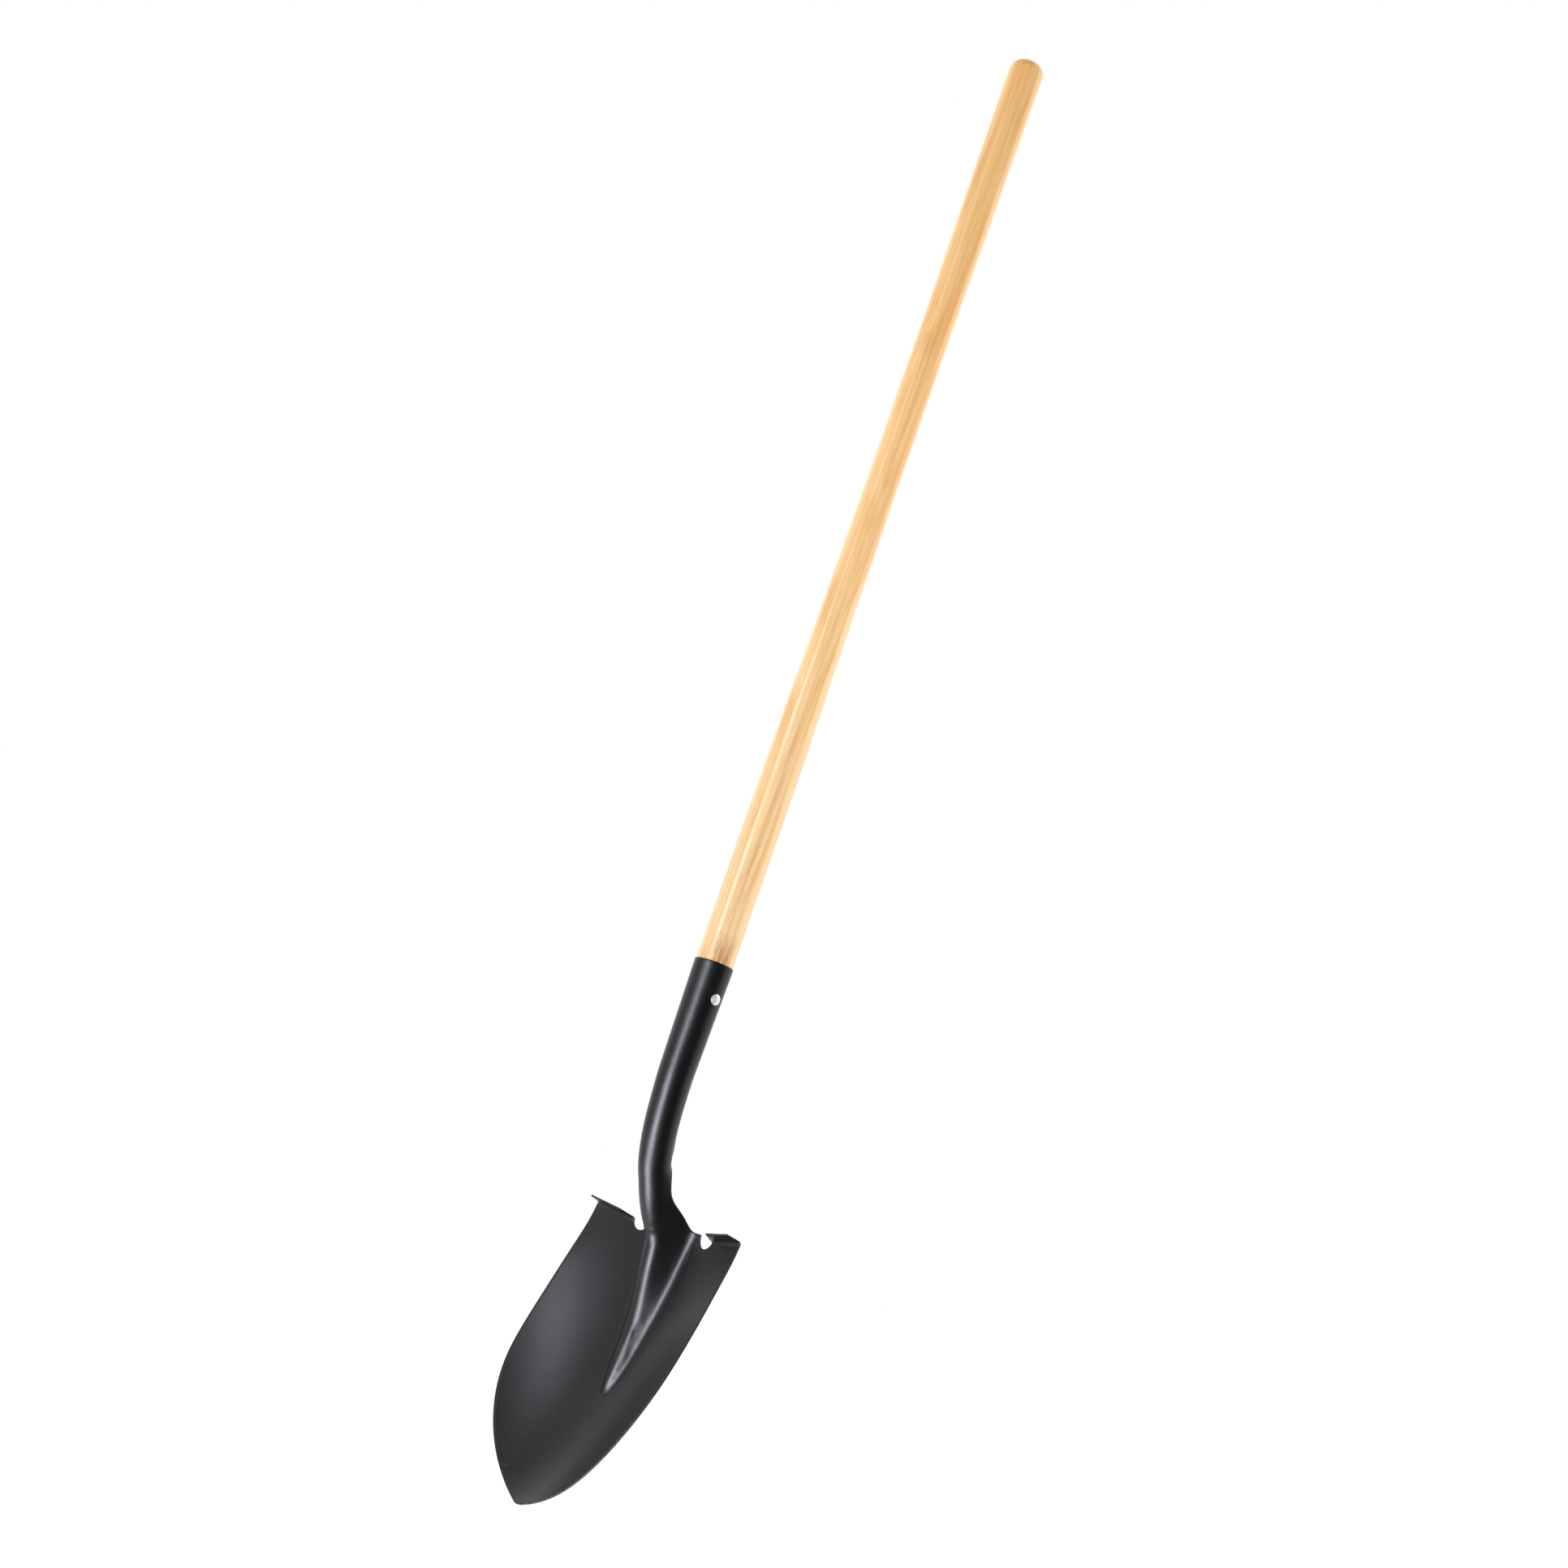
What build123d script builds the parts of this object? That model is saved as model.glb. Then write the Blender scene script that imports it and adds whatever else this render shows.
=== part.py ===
from build123d import *

import os
from math import acos, atan, ceil, cos, hypot, pi, radians, sin, sqrt, tan

# Long-handled round-point garden spade: one folded steel head, a wooden handle and a rivet.
#
# Frame: millimetres, handle axis on Z, socket rim at z = 0, the hollow of the blade faces -Y.
# The head is one sheet, so every cross-section is a thin strip: the front outline and the same
# outline set back by the sheet thickness. Strips are lofted from the rim down to the point.

# steel head
SHEET = 1.6                     # sheet thickness
BLADE_TOP_Y, BLADE_TOP_Z = 69.4, -254.6   # middle of the blade's top edge, on the front surface
BLADE_LEAN = radians(3.3)       # blade's lean at its top edge
BLADE_BEND = 0.056e-3           # growth of the lean per mm, and its growth per mm squared
BLADE_BEND_GROWTH = 6.28e-6
BLADE_LENGTH = 308.6            # along the middle line, top edge to point
DISH_TOP, DISH_POINT = 3.4e-3, 9.9e-3     # cross curvature of the scoop, 1/mm
CREST_R, FOOT_R = 12.6, 13.0    # ridge: rounded crest, hollow foot; both tighten where it runs out
NOTCH_X, NOTCH_Z, NOTCH_R = 49.3, -255.5, 10.5      # relief notches either side of the neck
TONGUE_X = NOTCH_X - NOTCH_R    # half width of the tongue that folds up into the neck
# points across the blade
WIDTHS = [0, 3, 6, 9, 12, 16, 20, 25, 31, TONGUE_X, 45, 54, 65, 85, 105, 122]
TONGUE = WIDTHS.index(TONGUE_X)

# each station across the blade: distance down the blade, tilt of the cut, ridge height, flank angle
STATIONS = [
    (-14, 33, 37, 61), (9, 26, 34, 60), (28, 19, 29, 58), (52, 9, 23, 53), (76, 2, 17, 47),
    (100, -5, 12.5, 44), (124, -9.3, 10, 44), (144, -11.3, 7.8, 44), (157, -12.7, 5.7, 44),
    (168, -14.2, 3.1, 44), (176, -15.3, 0, 44),
]
LOWER_STATIONS = [(176, -15.3, 0, 44), (220, -21.5, 0, 44), (270, -30.4, 0, 44), (318, -41, 0, 44)]
TONGUE_LIFT, LIFT_END = 9.0, 9.0    # the tongue stands this far forward; the lift fades out by here

# socket: height, tilt, centre y, outer radius; the seam at the back stays open
SEAM = 5.0
SOCKET = [(0, 0, 0.0, 20.0), (-116, 0, 0.0, 17.8)]
NECK = [(-116, 0, 0.0, 17.8), (-142, 6, 1.7, 17.4), (-171.5, 10, 4.9, 17.0), (-193, 16, 9.5, 16.6)]
# neck opening out into the blade: crest y and z, tilt, (length, turn) bends from crest to edge
FOLDS = [
    (-1.5, -211.5, 21, [(41, 2.5), (8.6, 0.2)]),
    (4.8, -223.7, 27, [(21.2, 1.3), (30, 1.0)]),
    (17.2, -246.0, 32, [(19.8, 1.28), (33, 0.05)]),
    (24.5, -256.5, 32.5, [(16.7, 1.17), (20, -0.1), (18, -0.45)]),
]

# back edges of the neck seen from the side (y, z), from the notches up to where the seam closes
BACK_EDGE = [
    (67, -253.8), (61.5, -251.2), (56.5, -247.2), (50.5, -242.4), (45.5, -238.6), (40.7, -235.2),
    (36, -231.4), (31.7, -226.5), (28, -219), (25.7, -210.5), (26, -203), (28.5, -197),
]

# blade outline seen from the front, right-hand side (x, z)
SIDE = [
    (108.3, -246), (109.9, -314), (110.9, -368), (106.5, -424), (83, -482), (58.5, -513), (5.5, -546.8),
]

# foot treads
TREAD_TILT = -10.3
TREAD_RISE = 4.3                # the treads climb outwards
WING_DOWN = 10.0                # the wings are cut here at the middle line, then bent forward
BEND_R = 3.6                    # outside radius of the bend
TREAD_IN, TREAD_OUT, TREAD_WIDTH = 59.8, 108.3, 17.0
TREAD_BEVEL = 7.0               # the inner end of the step slopes out by this much
TREAD_LAP = 0.2                 # the bend's root is fuller than the wing by this much on each side

# handle
HANDLE_R = 19.0
HANDLE_TOP = 1029.0
TANG_END, TANG_END_R = -160.0, 11.5
TANG_CLEARANCE = 0.45
SHAFT = [(19.0, 190), (17.9, 340), (17.1, 500), (16.85, 640), (17.3, 760), (18.2, 870), (18.8, 960)]
BUTT_R = 19.0                   # butt end: straight side, rounded corner, flatter crown
CORNER_R, CORNER_TURN = 12.0, 70

# rivet
RIVET_Z = -35.0
RIVET_R, RIVET_HOLE_R = 3.0, 3.2
HEAD_R, HEAD_RISE = 5.5, 2.3     # the head rises this far from the seat
SEAT = 19.6                     # the socket's surface at the rivet
UPSET_R, UPSET_RISE = 5.0, 1.5
BURR_R, BURR_THICK = 7.0, 1.2


def blade_middle(down):
    """Middle of the blade's front surface, `down` mm from the top edge."""
    steps = 60
    step = down / steps
    y, z = BLADE_TOP_Y, BLADE_TOP_Z
    for i in range(steps):
        s = max(0.0, (i + 0.5) * step)
        lean = BLADE_LEAN + BLADE_BEND * s + BLADE_BEND_GROWTH * s * s
        y -= sin(lean) * step
        z -= cos(lean) * step
    return y, z


def cut_plane(y, z, tilt):
    """Plane across the sheet: local x is X, local y points to the back of the spade."""
    a = radians(tilt)
    return Plane(origin=(0, y, z), x_dir=(1, 0, 0), z_dir=(0, -sin(a), cos(a)))


def ridge(x, height, flank):
    """Height and slope of the hollow ridge: crest arc, straight flank, foot arc."""
    if height <= 0:
        return 0.0, 0.0
    crest_r, foot_r = (min(full, 3 + 0.8 * height) for full in (CREST_R, FOOT_R))
    angle = min(radians(flank), acos(1 - height / (crest_r + foot_r)))
    run = (height - (crest_r + foot_r) * (1 - cos(angle))) / tan(angle)
    crest = crest_r * sin(angle)
    foot = crest + run + foot_r * sin(angle)
    if x < crest:
        drop = sqrt(crest_r**2 - x * x)
        return height - crest_r + drop, -x / drop
    if x < crest + run:
        return height - crest_r * (1 - cos(angle)) - (x - crest) * tan(angle), -tan(angle)
    if x < foot:
        rise = sqrt(foot_r**2 - (foot - x) ** 2)
        return foot_r - rise, -(foot - x) / rise
    return 0.0, 0.0


def blade_outline(station, widths=WIDTHS):
    """Right half of a blade strip as (x, y, heading), from the middle outwards."""
    down, _, height, flank = station
    share = min(1.05, max(0.0, down / BLADE_LENGTH))
    dish = DISH_TOP + (DISH_POINT - DISH_TOP) * share
    lift = TONGUE_LIFT * min(1.0, max(0.0, 1 - down / LIFT_END))
    outline = []
    for x in widths:
        rise, slope = ridge(x, height, flank)
        fade = min(1.0, max(0.0, (x - 36) / 18))
        rise += lift * (1 - fade * fade * (3 - 2 * fade))
        slope -= lift * 6 * fade * (1 - fade) / 18
        outline.append((x, -(dish * x * x / 2 + rise), atan(-(dish * x + slope))))
    return outline


def bent_outline(bends):
    """Right half of a folded strip: walk along the sheet through (length, turn) bends."""
    x = y = heading = 0.0
    outline = [(x, y, heading)]
    for length, turn in bends:
        steps = ceil(length / 0.1)
        for _ in range(steps):
            heading += turn / steps / 2
            x += length / steps * cos(heading)
            y += length / steps * sin(heading)
            heading += turn / steps / 2
            outline.append((x, y, heading))
    return outline


def even_points(outline, gaps=12):
    """Thin a finely drawn outline to points spaced evenly along it."""
    lengths = [0.0]
    for (ax, ay, _), (bx, by, _) in zip(outline, outline[1:]):
        lengths.append(lengths[-1] + hypot(bx - ax, by - ay))
    places = [lengths[-1] * i / gaps for i in range(gaps + 1)]
    return [
        min(zip(lengths, outline), key=lambda pair: abs(pair[0] - place))[1] for place in places
    ]


def strip(plane, outline, keep=None):
    """Section of the sheet, mirrored about x = 0; `keep` trims it to that point of the outline."""
    front = [(x, y) for x, y, _ in outline]
    back = [(x - SHEET * sin(h), y + SHEET * cos(h)) for x, y, h in outline]
    run, rise = cos(outline[-1][2]), sin(outline[-1][2])

    def both(half):
        return [(-x, y) for x, y in reversed(half)] + half[1:]

    with BuildSketch(plane) as section:
        with BuildLine():
            fore = Spline(both(front), tangents=[(run, -rise), (run, rise)], mode=Mode.PRIVATE)
            rear = Spline(both(back)[::-1], tangents=[(-run, -rise), (-run, rise)], mode=Mode.PRIVATE)
            if keep:
                (fx, fy), (bx, by) = front[keep], back[keep]
                fore = fore.trim((-fx, fy), (fx, fy))
                rear = rear.trim((bx, by), (-bx, by))
            add(fore)
            Line(fore @ 1, rear @ 0)
            add(rear)
            Line(rear @ 1, fore @ 0)
        make_face()
    return section.sketch


def blade_strip(station, keep=None):
    """Section across the blade at one station."""
    return strip(cut_plane(*blade_middle(station[0]), station[1]), blade_outline(station), keep)


def depth_on_cut(x, plane):
    """Local y on a plane across the wing, where it meets the blade's front surface at x."""
    ends = []
    for station in STATIONS[:2]:
        place = cut_plane(*blade_middle(station[0]), station[1])
        depth = blade_outline(station, [x])[0][1]
        ends.append(plane.to_local_coords(place.from_local_coords(Vector(x, depth, 0))))
    above, below = ends
    share = above.Z / (above.Z - below.Z)
    return above.Y + (below.Y - above.Y) * share


def tube_crest(z, tilt, y, radius):
    """Front of a tube section, from the tube's centre."""
    a = radians(tilt)
    return y - radius * cos(a), z - radius * sin(a)


def tube_bends(radius):
    """Half a ring, open at the back seam."""
    turn = pi - SEAM / radius / 2
    return [(radius * turn, turn)]


def tube_strip(z, tilt, y, radius):
    """Rolled socket section."""
    plane = cut_plane(*tube_crest(z, tilt, y, radius), tilt)
    return strip(plane, even_points(bent_outline(tube_bends(radius))))


def numbers(y, z, tilt, outline):
    """A section as one list of numbers, so that sections can be blended."""
    return [y, z, tilt] + [value for point in even_points(outline) for value in point]


def tongue_numbers(station):
    """The tongue's part of a blade section, measured from its crest like the neck's sections."""
    outline = blade_outline(station, [TONGUE_X * i / 400 for i in range(401)])
    y, z = blade_middle(station[0])
    lift, a = outline[0][1], radians(station[1])
    from_crest = [(x, depth - lift, heading) for x, depth, heading in outline]
    return numbers(y + lift * cos(a), z + lift * sin(a), station[1], from_crest)


def blend(before, start, end, after, share):
    """Section `share` of the way from start to end, on a smooth curve through all four."""
    gaps = [
        hypot(b[0] - a[0], b[1] - a[1]) for a, b in ((before, start), (start, end), (end, after))
    ]
    blended = []
    for a, b, c, d in zip(before, start, end, after):
        slopes = [(b - a) / gaps[0], (c - b) / gaps[1], (d - c) / gaps[2]]
        slope_b = (slopes[0] * gaps[1] + slopes[1] * gaps[0]) / (gaps[0] + gaps[1])
        slope_c = (slopes[1] * gaps[2] + slopes[2] * gaps[1]) / (gaps[1] + gaps[2])
        rest = 1 - share
        blended.append(
            b * (1 + 2 * share) * rest**2 + c * (1 + 2 * rest) * share**2
            + gaps[1] * share * rest * (slope_b * rest - slope_c * share)
        )
    return blended


def doubled(rows):
    """Rows of numbers with a smooth one added between each two; the outermost rows only guide."""
    return [
        blend(*four, share) for four in zip(rows, rows[1:], rows[2:], rows[3:]) for share in (0, 0.5)
    ]


def neck_strips():
    """Sections of the neck, from the socket down to the tongue."""
    given = [numbers(*tube_crest(*s), s[1], bent_outline(tube_bends(s[3]))) for s in SOCKET[:1] + NECK]
    given += [numbers(y, z, tilt, bent_outline(bends)) for y, z, tilt, bends in FOLDS]
    given += [tongue_numbers(station) for station in STATIONS[:2]]
    strips = []
    for y, z, tilt, *values in doubled(given):
        outline = list(zip(values[0::3], values[1::3], values[2::3]))
        strips.append(strip(cut_plane(y, z, tilt), outline))
    return strips + [blade_strip(STATIONS[0], keep=TONGUE)]


# one foot tread: the bend and the flat step, swept along the top of the wing
wing_cut = cut_plane(*blade_middle(WING_DOWN), TREAD_TILT).rotated((0, -TREAD_RISE, 0))
with BuildPart() as tread:
    with BuildLine(wing_cut):
        bend_x = (TREAD_IN, (TREAD_IN + TREAD_OUT) / 2, TREAD_OUT)
        bend_y = [depth_on_cut(x, wing_cut) for x in bend_x]
        bend_line = ThreePointArc(*zip(bend_x, bend_y))
    # local x is up, local y is forward; the root laps the wing's top edge
    with BuildSketch(Plane(origin=bend_line @ 0, x_dir=wing_cut.z_dir, z_dir=bend_line % 0)):
        with BuildLine():
            inner = BEND_R - SHEET
            diagonal = sin(radians(45))
            outside = Line((-0.4, -SHEET - TREAD_LAP), (0, -SHEET - TREAD_LAP))
            ThreePointArc(
                outside @ 1, (BEND_R * diagonal, inner - BEND_R * diagonal), (BEND_R, inner)
            )
            Polyline((BEND_R, inner), (BEND_R, TREAD_WIDTH), (inner, TREAD_WIDTH), (inner, inner))
            inside = ThreePointArc(
                (inner, inner), (inner * diagonal, inner - inner * diagonal), (0, TREAD_LAP)
            )
            Polyline(inside @ 1, (-0.4, TREAD_LAP), outside @ 0)
        make_face()
    sweep(path=bend_line)
    with BuildSketch(wing_cut):
        heel, toe = bend_y[0], bend_y[2]
        Polygon(
            (TREAD_IN, heel + 5), (TREAD_OUT, toe + 5), (TREAD_OUT, toe - 2 * TREAD_WIDTH),
            (TREAD_IN + TREAD_BEVEL, toe - 2 * TREAD_WIDTH),
            (TREAD_IN + TREAD_BEVEL, heel - TREAD_WIDTH), (TREAD_IN, heel - BEND_R),
            align=None,
        )
    extrude(amount=20, both=True, mode=Mode.INTERSECT)

# one steel sheet: blade, ridge, neck and socket
with BuildPart() as shovel_head:
    loft([blade_strip(station) for station in STATIONS])
    loft([blade_strip(station) for station in LOWER_STATIONS])

    # blade outline, open above so the neck can join
    with BuildSketch(Plane.XZ):
        with BuildLine():
            right = Spline(SIDE)
            left = Spline([(-x, z) for x, z in SIDE])
            TangentArc(right @ 1, left @ 1, tangent=right % 1)
            Polyline(right @ 0, (SIDE[0][0], -225), (-SIDE[0][0], -225), left @ 0)
        make_face()
        with Locations((NOTCH_X, NOTCH_Z), (-NOTCH_X, NOTCH_Z)):
            Circle(NOTCH_R, mode=Mode.SUBTRACT)
            with Locations((0, 25)):
                Rectangle(2 * NOTCH_R, 50, mode=Mode.SUBTRACT)
    extrude(amount=200, both=True, mode=Mode.INTERSECT)

    # the wings stop where the treads bend forward
    with BuildPart(mode=Mode.PRIVATE) as above_wing:
        with BuildSketch(wing_cut):
            with Locations(((TREAD_IN + 140) / 2, 0)):
                Rectangle(140 - TREAD_IN, 200)
        extrude(amount=60)
    add(above_wing.part, mode=Mode.SUBTRACT)
    add(mirror(above_wing.part, about=Plane.YZ, mode=Mode.PRIVATE), mode=Mode.SUBTRACT)
    add(tread.part)
    add(mirror(tread.part, about=Plane.YZ, mode=Mode.PRIVATE))

    # neck: from the blade's tongue up to the closed tube, then the straight socket
    loft(neck_strips())
    with BuildSketch(Plane.YZ):
        with BuildLine():
            back_edge = Spline(BACK_EDGE)
            Polyline(back_edge @ 1, (80, BACK_EDGE[-1][1]), (80, BACK_EDGE[0][1]), back_edge @ 0)
        make_face()
    extrude(amount=NOTCH_X, both=True, mode=Mode.SUBTRACT)
    loft([tube_strip(*section) for section in SOCKET], ruled=True)

    with BuildSketch(Plane.YZ):
        with Locations((0, RIVET_Z)):
            Circle(RIVET_HOLE_R)
    extrude(amount=40, both=True, mode=Mode.SUBTRACT)

# turned wooden handle with a tapered tang inside the socket
with BuildPart() as handle:
    with BuildSketch(Plane.XZ):
        with BuildLine():
            tang_r = [radius - SHEET - TANG_CLEARANCE for _, _, _, radius in SOCKET]
            Polyline(
                (0, TANG_END), (TANG_END_R, TANG_END), (tang_r[1], SOCKET[1][0]), (tang_r[0], 0),
                (HANDLE_R, 0), SHAFT[0],
            )
            rest = 90 - CORNER_TURN
            crown_r = (BUTT_R - CORNER_R * (1 - cos(radians(CORNER_TURN)))) / sin(radians(rest))
            dome = CORNER_R * sin(radians(CORNER_TURN)) + crown_r * (1 - cos(radians(rest)))
            side = Spline(SHAFT + [(BUTT_R, HANDLE_TOP - dome)], tangents=[(0, 1), (0, 1)])
            corner = JernArc(side @ 1, (0, 1), CORNER_R, CORNER_TURN)
            crown = JernArc(corner @ 1, corner % 1, crown_r, rest)
            Polyline(crown @ 1, (0, TANG_END))
        make_face()
    revolve(axis=Axis.Z)
    with BuildSketch(Plane.YZ):
        with Locations((0, RIVET_Z)):
            Circle(RIVET_HOLE_R)
    extrude(amount=40, both=True, mode=Mode.SUBTRACT)

# rivet through socket and tang: low domed head on +X, upset end outside the burr on -X
rivet_axis = Axis((0, 0, RIVET_Z), (1, 0, 0))
burr_face = SEAT + BURR_THICK
with BuildPart() as rivet:
    with BuildSketch(Plane.XZ):
        with BuildLine():
            rim = Polyline(
                (SEAT - 1.5, RIVET_Z), (SEAT - 1.5, RIVET_Z + HEAD_R), (SEAT + 0.6, RIVET_Z + HEAD_R)
            )
            dome = TangentArc((SEAT + HEAD_RISE, RIVET_Z), rim @ 1, tangent=(0, 1))
            Line(dome @ 0, rim @ 0)
        make_face()
    revolve(axis=rivet_axis)
    # the underside of the head is pressed round the socket
    with BuildSketch(Plane.XZ):
        Polygon(
            (0, 10), (SOCKET[0][3] + 0.3, 10), (SOCKET[1][3] + 0.15, SOCKET[1][0]), (0, SOCKET[1][0]),
            align=None,
        )
    revolve(axis=Axis.Z, mode=Mode.SUBTRACT)
    with BuildSketch(Plane.XZ):
        with BuildLine():
            stem = Polyline(
                (SEAT + 0.5, RIVET_Z), (SEAT + 0.5, RIVET_Z + RIVET_R), (-burr_face, RIVET_Z + RIVET_R),
                (-burr_face, RIVET_Z + UPSET_R),
            )
            upset = TangentArc((-burr_face - UPSET_RISE, RIVET_Z), stem @ 1, tangent=(0, 1))
            Line(upset @ 0, stem @ 0)
        make_face()
    revolve(axis=rivet_axis)

with BuildPart() as rivet_burr:
    with BuildSketch(Plane.YZ.offset(-SEAT)):
        with Locations((0, RIVET_Z)):
            Circle(BURR_R)
            Circle(RIVET_HOLE_R, mode=Mode.SUBTRACT)
    extrude(amount=-BURR_THICK)

os.makedirs("parts", exist_ok=True)
for node, name in (
    (shovel_head, "shovel_head"), (handle, "handle"), (rivet, "rivet"), (rivet_burr, "rivet_burr"),
):
    node.part.label = name
    export_step(node.part, f"parts/{name}.step")
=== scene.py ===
"""Looks of the long-handled round-point garden spade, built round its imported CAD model."""

from math import radians

import bpy
from mathutils import Matrix, Vector


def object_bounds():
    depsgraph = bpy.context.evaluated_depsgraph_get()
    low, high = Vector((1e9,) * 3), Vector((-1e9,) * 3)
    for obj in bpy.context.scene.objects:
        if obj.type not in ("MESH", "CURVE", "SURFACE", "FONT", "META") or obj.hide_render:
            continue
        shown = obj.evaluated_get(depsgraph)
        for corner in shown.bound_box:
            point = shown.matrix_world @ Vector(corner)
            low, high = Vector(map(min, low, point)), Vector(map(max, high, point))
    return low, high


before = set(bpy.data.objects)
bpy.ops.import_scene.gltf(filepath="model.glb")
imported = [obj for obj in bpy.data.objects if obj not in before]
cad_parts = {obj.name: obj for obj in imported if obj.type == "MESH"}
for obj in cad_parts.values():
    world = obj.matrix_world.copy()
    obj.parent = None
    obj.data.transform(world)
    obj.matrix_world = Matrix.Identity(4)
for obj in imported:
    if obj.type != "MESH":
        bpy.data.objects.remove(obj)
cad_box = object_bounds()
scene = bpy.context.scene

# Lengths are in metres and angles in degrees. An azimuth is 0 straight in front of the spade (-Y)
# and grows towards +X; an elevation is the angle above the horizon.

# camera: low on the right of the spade's front, looking up, with the spade leaning in the picture
CAMERA_AT = Vector((1.9754, -1.7390, -0.3687))
CAMERA_LOOKS = Vector((-0.73233, 0.64791, 0.20954))
CAMERA_UP = Vector((-0.07040, -0.37810, 0.92309))
LENS_MM, SENSOR_MM = 61.49, 36.0
CLIP_NEAR, CLIP_FAR = 0.1, 200.0

# black paint
PAINT_DARK, PAINT_PALE = (0.0014, 0.0014, 0.0018), (0.0024, 0.0022, 0.0024)
PAINT_ROUNDING = 0.003              # the paint rounds off edges and creases
MARK_GREY = (0.10, 0.10, 0.10)
RUB_TOP, RUB_FADE = -0.47, 0.09     # it is rubbed below this height, fully so this much lower

# wood
WOOD_LENGTH = 1.029                 # handle above the socket
WOOD_R = 0.019
WOOD_AT_SOCKET, WOOD_HALF_WAY = (0.84, 0.585, 0.300), (0.92, 0.600, 0.280)
WOOD_AT_BUTT = (0.90, 0.540, 0.205)
FIGURE_TINT, RING_TINT = (0.93, 0.81, 0.66), (0.86, 0.72, 0.52)
PITH = (0.034, 0.021, 0.0)          # moves the growth rings' centre off the handle
RING_SCALE = 62.0                   # one ring every 5 mm
RING_STRETCH = 0.035                # how quickly the rings change along the handle
PORE_BROWN, STAIN_BROWN = (0.42, 0.22, 0.09), (0.42, 0.16, 0.045)
STAIN_HEIGHT = 0.032                # brown stains reach this far up from the socket
STAIN_X, STAIN_Y = 0.91, -0.41      # direction of the stained side from the handle's axis

# zinc
ZINC_DULL, ZINC_BRIGHT = (0.74, 0.77, 0.78), (0.88, 0.90, 0.91)

# floor
FLOOR_HALF = 30.0
FLOOR_GAP = 0.0005                  # it lies just under the point of the blade
FLOOR_GLOW = 1.02

# grey level of the room at each azimuth; it shows only in reflections and in the light on the spade
ROOM = [
    (-180, 0.76), (-130, 0.95), (-85, 0.95), (-60, 0.60), (-40, 0.40), (-25, 0.20), (15, 0.32),
    (30, 0.04), (60, 0.02), (121, 0.02), (130, 0.80), (180, 0.80),
]
# and how bright it is at each height, from straight down (-1) to straight up (1)
ROOM_HEIGHTS = [
    (-1, 1.0), (-0.75, 1.0), (-0.5, 0.62), (-0.3, 0.54), (0.2, 0.62), (0.45, 0.88), (1, 0.88),
]
ROOM_LIGHT = 2.0

# soft boxes, all at one distance from the neck: name, azimuth, elevation, width, height, watts
AIM = Vector((0.0, 0.03, -0.25))
BOX_DISTANCE = 3.0
GLOSS_BOXES = [     # only make the highlights
    ("front_box", 15, 3, 0.5, 0.9, 38),
    ("low_box", -2, -37, 1.5, 1.1, 120),
    ("ridge_box", 12, -12, 0.9, 0.6, 80),
    ("blade_box", 5, 20, 0.9, 0.7, 11),
]
FILL_BOXES = [      # light the wood without a highlight
    ("left_fill", -25, 0, 2.4, 2.4, 93),
    ("right_fill", 85, 0, 2.4, 2.4, 104),
]
BLUISH, WHITE = (0.87, 0.90, 1.0), (1.0, 1.0, 1.0)


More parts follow.
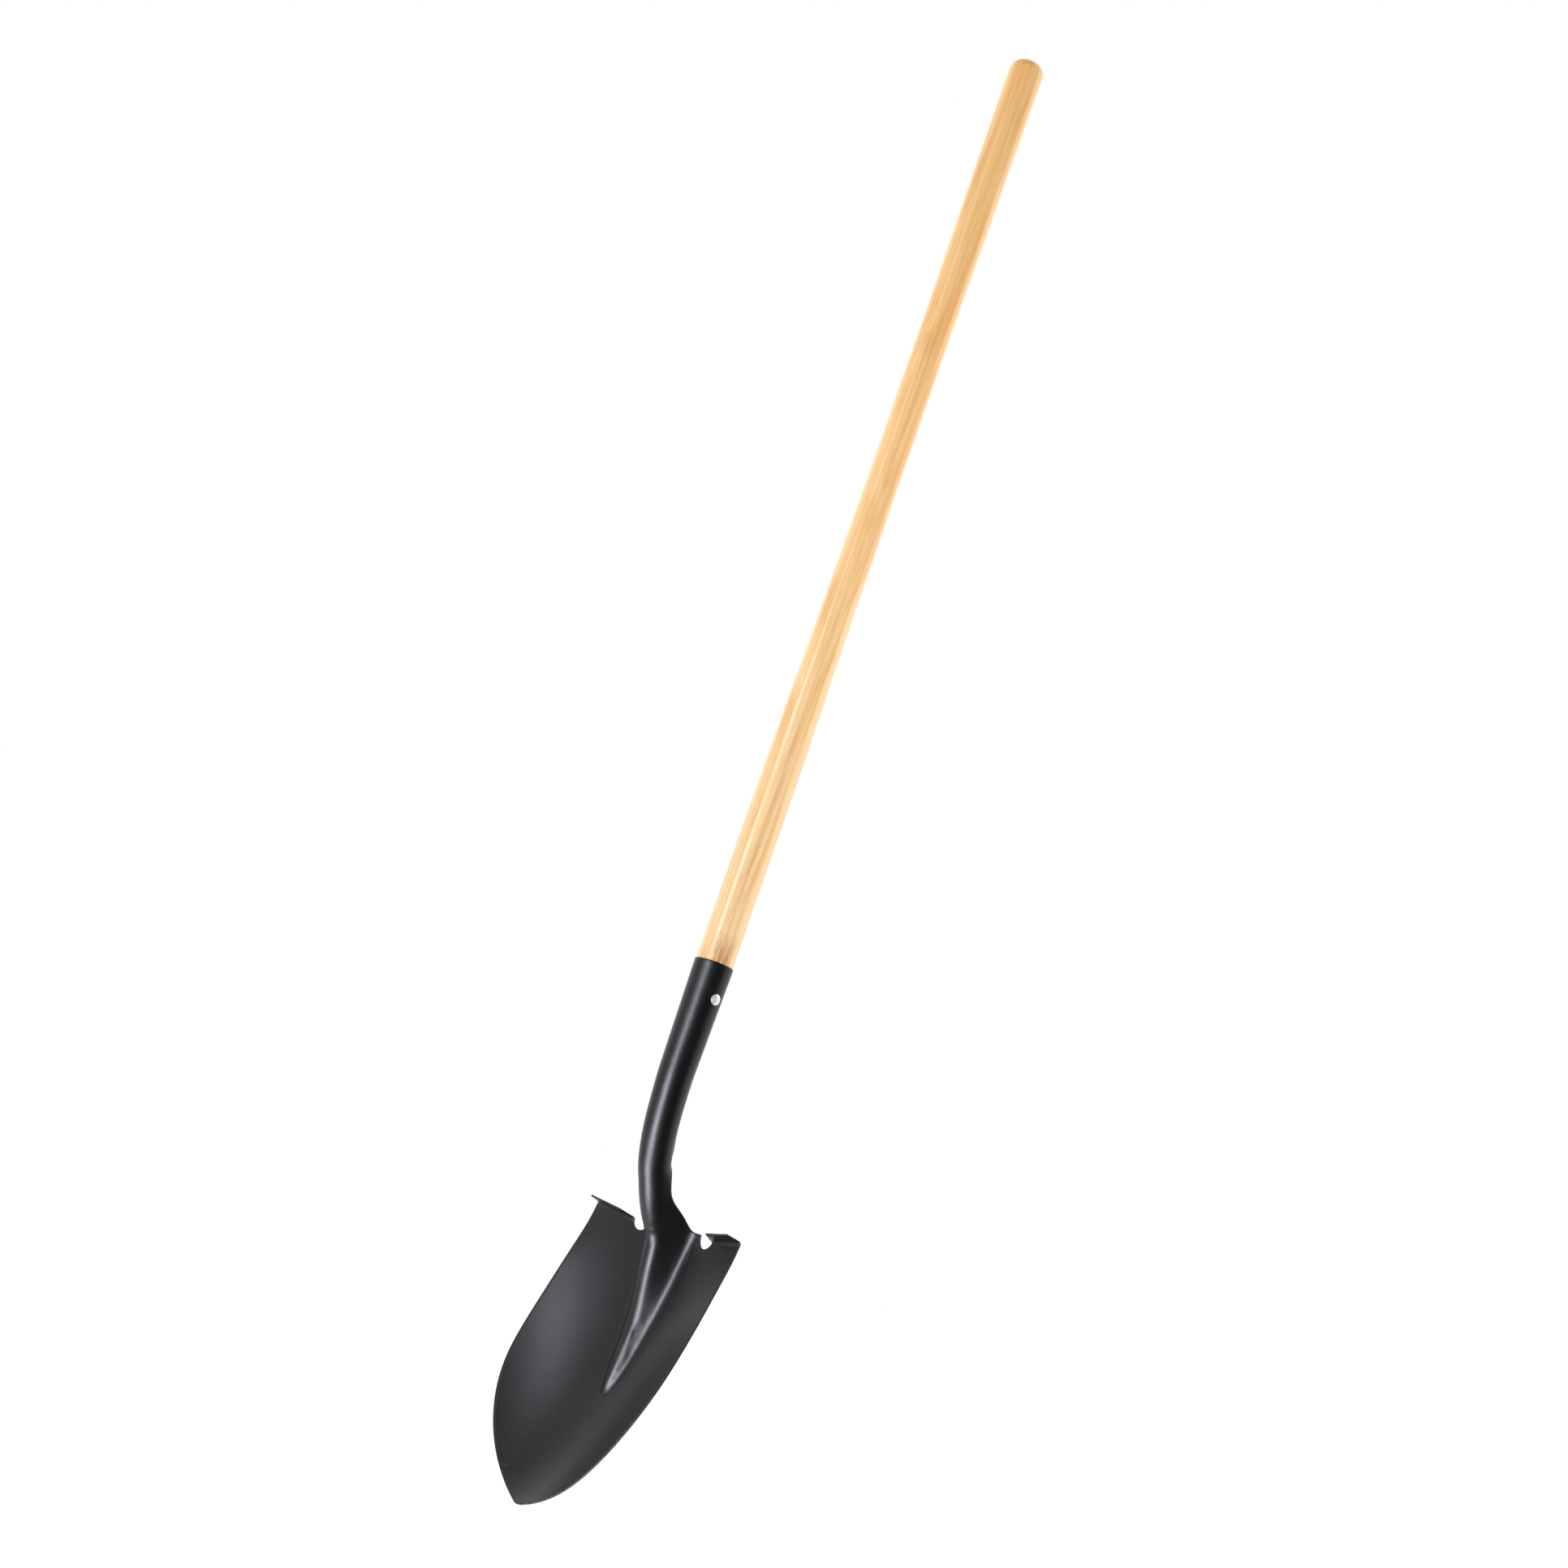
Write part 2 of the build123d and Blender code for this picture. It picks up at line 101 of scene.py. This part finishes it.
class Graph:
    """Short ways to add nodes to the emptied tree of a material or world."""

    def __init__(self, owner):
        owner.use_nodes = True
        self.tree = owner.node_tree
        self.tree.nodes.clear()

    def add(self, kind, inputs=None, **settings):
        node = self.tree.nodes.new("ShaderNode" + kind)
        for name, value in settings.items():
            setattr(node, name, value)
        for name, value in (inputs or {}).items():
            self.put(node.inputs[name], value)
        return node

    def put(self, socket, value):
        """Join a socket to another, or give it a plain number, vector or red, green and blue."""
        if isinstance(value, bpy.types.NodeSocket):
            self.tree.links.new(value, socket)
        elif socket.type == "RGBA":
            socket.default_value = (*value, 1)
        else:
            socket.default_value = value

    def place(self, kind="Object"):
        return self.add("TexCoord").outputs[kind]

    def split(self, vector):
        return self.add("SeparateXYZ", {"Vector": vector}).outputs

    def math(self, operation, *values, clamp=False):
        node = self.add("Math", operation=operation, use_clamp=clamp)
        for socket, value in zip(node.inputs, values):
            self.put(socket, value)
        return node.outputs[0]

    def times(self, a, b):
        return self.math("MULTIPLY", a, b)

    def noise(self, vector, scale, detail=2.0, roughness=0.5, distortion=0.0):
        """Noise from 0 to 1; its scale is how many features fit in a metre."""
        node = self.add("TexNoise", {
            "Vector": vector, "Scale": scale, "Detail": detail, "Roughness": roughness,
            "Distortion": distortion,
        })
        return node.outputs["Fac"]

    def stretch(self, vector, scale, offset=(0, 0, 0)):
        return self.add("Mapping", {"Vector": vector, "Scale": scale, "Location": offset}).outputs[0]

    def streaks(self, vector, across, along, offset=(0, 0, 0), **look):
        """Noise with different numbers of features per metre across and along Z."""
        return self.noise(self.stretch(vector, (across, across, along), offset), 1.0, **look)

    def ramp(self, factor, *stops):
        """Colour or grey ramp through (position, colour) stops."""
        node = self.add("ValToRGB", {"Fac": factor})
        elements = node.color_ramp.elements
        while len(elements) < len(stops):
            elements.new(0.5)
        for element, (position, colour) in zip(elements, stops):
            element.position = position
            element.color = (*colour, 1) if isinstance(colour, tuple) else (colour, colour, colour, 1)
        return node.outputs[0]

    def above(self, value, start, full):
        """0 up to start, rising to 1 at full."""
        return self.ramp(value, (start, 0.0), (full, 1.0))

    def mix(self, factor, a, b, blend_type="MIX"):
        node = self.add("Mix", data_type="RGBA", blend_type=blend_type)
        colours = [socket for socket in node.inputs if socket.type == "RGBA"]
        self.put(node.inputs[0], factor)
        self.put(colours[0], a)
        self.put(colours[1], b)
        return next(socket for socket in node.outputs if socket.type == "RGBA")

    def tint(self, colour, by, amount=1.0):
        return self.mix(amount, colour, by, "MULTIPLY")

    def bump(self, height, distance, strength, under=None):
        """Normal of a relief, on top of the normal under it if there is one."""
        inputs = {"Height": height, "Distance": distance, "Strength": strength}
        if under is not None:
            inputs["Normal"] = under
        return self.add("Bump", inputs).outputs[0]


def new_material(name):
    """A new material, its graph, and its main shader's inputs."""
    material = bpy.data.materials.new(name)
    g = Graph(material)
    shader = g.add("BsdfPrincipled")
    g.add("OutputMaterial", {"Surface": shader.outputs[0]})
    return material, g, shader.inputs


def black_paint():
    """Satin black enamel on steel: orange peel, dust in the paint, fine scratches, rubs at the point."""
    material, g, skin = new_material("black_satin_paint")
    place = g.place()
    clouds = g.noise(place, scale=9.0, detail=3.0, roughness=0.6)
    waves = g.noise(place, scale=60.0)
    fine = g.noise(place, scale=1400.0, roughness=0.6)
    # dust nibs baked into the paint, here and there
    nib = g.add("TexVoronoi", {"Vector": place, "Scale": 260.0}).outputs["Distance"]
    sparse = g.math("GREATER_THAN", g.noise(place, scale=190.0, detail=1.0), 0.66)
    nibs = g.times(g.math("LESS_THAN", nib, 0.16), sparse)
    # patches of hairline scratches that run down the neck and blade
    hair = g.above(g.streaks(place, across=900, along=26, detail=1.0), start=0.70, full=0.74)
    hairs = g.times(hair, g.above(g.noise(place, scale=24.0), start=0.58, full=0.72))
    # paint rubbed dull towards the point
    height = g.split(place)["Z"]
    low = g.math("MULTIPLY", g.math("SUBTRACT", RUB_TOP, height), 1 / RUB_FADE, clamp=True)
    rub = g.above(g.noise(place, scale=320.0, detail=4.0, roughness=0.7), start=0.58, full=0.66)
    marks = g.math("MAXIMUM", g.times(nibs, 0.6), g.math("MAXIMUM", hairs, g.times(rub, low)))

    colour = g.ramp(clouds, (0.3, PAINT_DARK), (0.7, PAINT_PALE))
    g.put(skin["Base Color"], g.mix(g.times(marks, 0.5), colour, MARK_GREY))
    roughness = g.math("ADD", g.times(clouds, 0.08), g.times(fine, 0.06))
    g.put(skin["Roughness"], g.math("ADD", roughness, 0.31))
    rounded = g.add("Bevel", {"Radius": PAINT_ROUNDING}, samples=6).outputs[0]
    orange_peel = g.bump(waves, distance=0.0006, strength=0.12, under=rounded)
    grainy = g.bump(fine, distance=0.00006, strength=0.55, under=orange_peel)
    g.put(skin["Normal"], g.bump(marks, distance=0.00008, strength=0.5, under=grainy))
    return material


def wood():
    """Varnished pale wood: growth rings run the length of the handle, with pores and rim stains."""
    material, g, skin = new_material("varnished_wood")
    place = g.place()
    parts = g.split(place)
    # sapwood, warmer towards the butt
    along = g.math("DIVIDE", parts["Z"], WOOD_LENGTH, clamp=True)
    pale = g.ramp(along, (0.0, WOOD_AT_SOCKET), (0.45, WOOD_HALF_WAY), (1.0, WOOD_AT_BUTT))
    # broad warmer figure
    figure = g.streaks(place, across=42, along=5, detail=3.0, roughness=0.55, distortion=1.2)
    colour = g.mix(g.above(figure, start=0.46, full=0.60), pale, g.tint(pale, FIGURE_TINT))
    # growth rings about a pith well outside the handle, dark in the late wood and broken in places
    rings = g.add("TexWave", {
        "Vector": g.stretch(place, (1, 1, RING_STRETCH), PITH), "Scale": RING_SCALE,
        "Distortion": 5.0, "Detail": 2.0, "Detail Scale": 0.35, "Detail Roughness": 0.55,
    }, wave_type="RINGS", rings_direction="Z", wave_profile="SAW").outputs["Fac"]
    late = g.ramp(rings, (0.0, 0.25), (0.10, 0.0), (0.62, 0.0), (0.93, 0.75), (1.0, 0.25))
    broken = g.ramp(g.streaks(place, across=60, along=9), (0.35, 0.25), (0.62, 1.0))
    colour = g.mix(g.times(late, broken), colour, g.tint(colour, RING_TINT))
    # fine fibres and short dark pores
    fibre = g.streaks(place, across=1300, along=16, detail=3.0, roughness=0.6)
    colour = g.tint(colour, g.ramp(fibre, (0.3, 0.55), (0.7, 1.0)), amount=0.35)
    pore = g.streaks(place, across=1500, along=90, offset=(3, 5, 7), detail=1.0)
    colour = g.mix(g.times(g.above(pore, start=0.70, full=0.76), 0.45), colour, PORE_BROWN)
    # brown stains drawn up out of the socket on one side
    near = g.math("SUBTRACT", 1.0, g.math("DIVIDE", parts["Z"], STAIN_HEIGHT), clamp=True)
    side = g.math("ADD", g.times(parts["X"], STAIN_X), g.times(parts["Y"], STAIN_Y))
    near = g.times(near, g.above(g.math("DIVIDE", side, WOOD_R), start=0.78, full=0.92))
    streak = g.streaks(place, across=360, along=36, offset=(2, 1, 0), roughness=0.6)
    stain = g.times(g.above(streak, start=0.44, full=0.56), g.math("POWER", near, 0.7))
    colour = g.mix(g.times(stain, 0.85), colour, STAIN_BROWN)

    g.put(skin["Base Color"], colour)
    g.put(skin["Roughness"], g.ramp(fibre, (0.3, 0.42), (0.7, 0.55)))
    g.put(skin["Normal"], g.bump(fibre, distance=0.00006, strength=0.35))
    # the varnish, with brush waves
    brushed = g.streaks(place, across=120, along=14)
    g.put(skin["Coat Weight"], 0.7)
    g.put(skin["Coat Roughness"], g.ramp(figure, (0.3, 0.10), (0.7, 0.16)))
    g.put(skin["Coat Normal"], g.bump(brushed, distance=0.0004, strength=0.10))
    return material


def zinc():
    """Bright zinc plate on the rivet: faint spangle, with duller and rougher spots."""
    material, g, skin = new_material("bright_zinc")
    place = g.place()
    spangle = g.add("TexVoronoi", {"Vector": place, "Scale": 900.0}).outputs["Color"]
    worn = g.noise(place, scale=700.0, detail=3.0, roughness=0.6)
    colour = g.ramp(worn, (0.35, ZINC_DULL), (0.65, ZINC_BRIGHT))
    g.put(skin["Base Color"], g.tint(colour, spangle, amount=0.08))
    g.put(skin["Metallic"], 0.6)
    g.put(skin["Roughness"], g.math("ADD", g.times(worn, 0.15), 0.28))
    g.put(skin["Normal"], g.bump(worn, distance=0.00004, strength=0.15))
    return material


def soft_box(name, azimuth, elevation, width, height, watts, fill):
    """Box that faces the spade's neck; a fill lights matt colour, and any other only gloss."""
    data = bpy.data.lights.new(name, "AREA")
    data.shape = "RECTANGLE"
    data.size, data.size_y, data.energy = width, height, watts
    data.color = WHITE if fill else BLUISH
    light = bpy.data.objects.new(name, data)
    turn = Matrix.Rotation(radians(azimuth), 3, "Z") @ Matrix.Rotation(radians(-elevation), 3, "X")
    away = turn @ Vector((0, -1, 0))
    light.location = AIM + away * BOX_DISTANCE
    light.rotation_mode = "QUATERNION"
    light.rotation_quaternion = away.to_track_quat("Z", "Y")
    light.visible_camera = False
    light.visible_diffuse = fill
    light.visible_glossy = not fill
    scene.collection.objects.link(light)


def studio():
    """Room that is white behind the spade, grey in front and dark round the camera, with its boxes."""
    scene.world = bpy.data.worlds.new("studio")
    g = Graph(scene.world)
    towards = g.split(g.place("Generated"))
    azimuth = g.math("ARCTAN2", towards["X"], g.times(towards["Y"], -1.0))
    turn = g.math("ADD", g.math("DIVIDE", azimuth, radians(360)), 0.5)
    around = g.ramp(turn, *[((angle + 180) / 360, level) for angle, level in ROOM])
    rise = g.math("MULTIPLY_ADD", towards["Z"], 0.5, 0.5)
    upright = g.ramp(rise, *[((height + 1) / 2, level) for height, level in ROOM_HEIGHTS])
    room = g.tint(g.tint(around, upright), (ROOM_LIGHT,) * 3)
    # plain white behind the spade
    seen = g.mix(g.add("LightPath").outputs["Is Camera Ray"], room, WHITE)
    background = g.add("Background", {"Color": seen, "Strength": 1.0})
    g.add("OutputWorld", {"Surface": background.outputs[0]})
    for box in GLOSS_BOXES:
        soft_box(*box, fill=False)
    for box in FILL_BOXES:
        soft_box(*box, fill=True)


def floor():
    """Plain white floor under the point of the blade, lit evenly like the background."""
    height = cad_box[0].z - FLOOR_GAP
    signs = [(-1, -1), (1, -1), (1, 1), (-1, 1)]
    mesh = bpy.data.meshes.new("floor")
    mesh.from_pydata([(FLOOR_HALF * x, FLOOR_HALF * y, height) for x, y in signs], [], [(0, 1, 2, 3)])
    material, g, skin = new_material("white_floor")
    g.put(skin["Base Color"], (0, 0, 0))
    g.put(skin["Specular IOR Level"], 0.0)
    g.put(skin["Emission Color"], g.ramp(g.noise(g.place(), scale=3.0), (0.3, 0.99), (0.7, 1.0)))
    g.put(skin["Emission Strength"], FLOOR_GLOW)
    mesh.materials.append(material)
    plane = bpy.data.objects.new("floor", mesh)
    # the room's light reaches the spade from below as if the floor were clear
    plane.visible_glossy = plane.visible_shadow = plane.visible_diffuse = False
    scene.collection.objects.link(plane)


def camera():
    """The camera, rolled so the spade leans as it does in the picture."""
    data = bpy.data.cameras.new("camera")
    data.lens, data.sensor_width = LENS_MM, SENSOR_MM
    data.clip_start, data.clip_end = CLIP_NEAR, CLIP_FAR
    viewer = bpy.data.objects.new("camera", data)
    right = CAMERA_LOOKS.cross(CAMERA_UP).normalized()
    up = right.cross(CAMERA_LOOKS).normalized()
    axes = Matrix((right, up, -CAMERA_LOOKS.normalized())).transposed()
    viewer.matrix_world = Matrix.Translation(CAMERA_AT) @ axes.to_4x4()
    scene.collection.objects.link(viewer)
    scene.camera = viewer


def dress(material, *names):
    """Give a material to the CAD nodes of these names."""
    for name in names:
        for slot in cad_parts[name].material_slots:
            slot.material = material


camera()
studio()
floor()
dress(black_paint(), "shovel_head")
dress(wood(), "handle")
dress(zinc(), "rivet", "rivet_burr")

scene.view_settings.view_transform = "Standard"
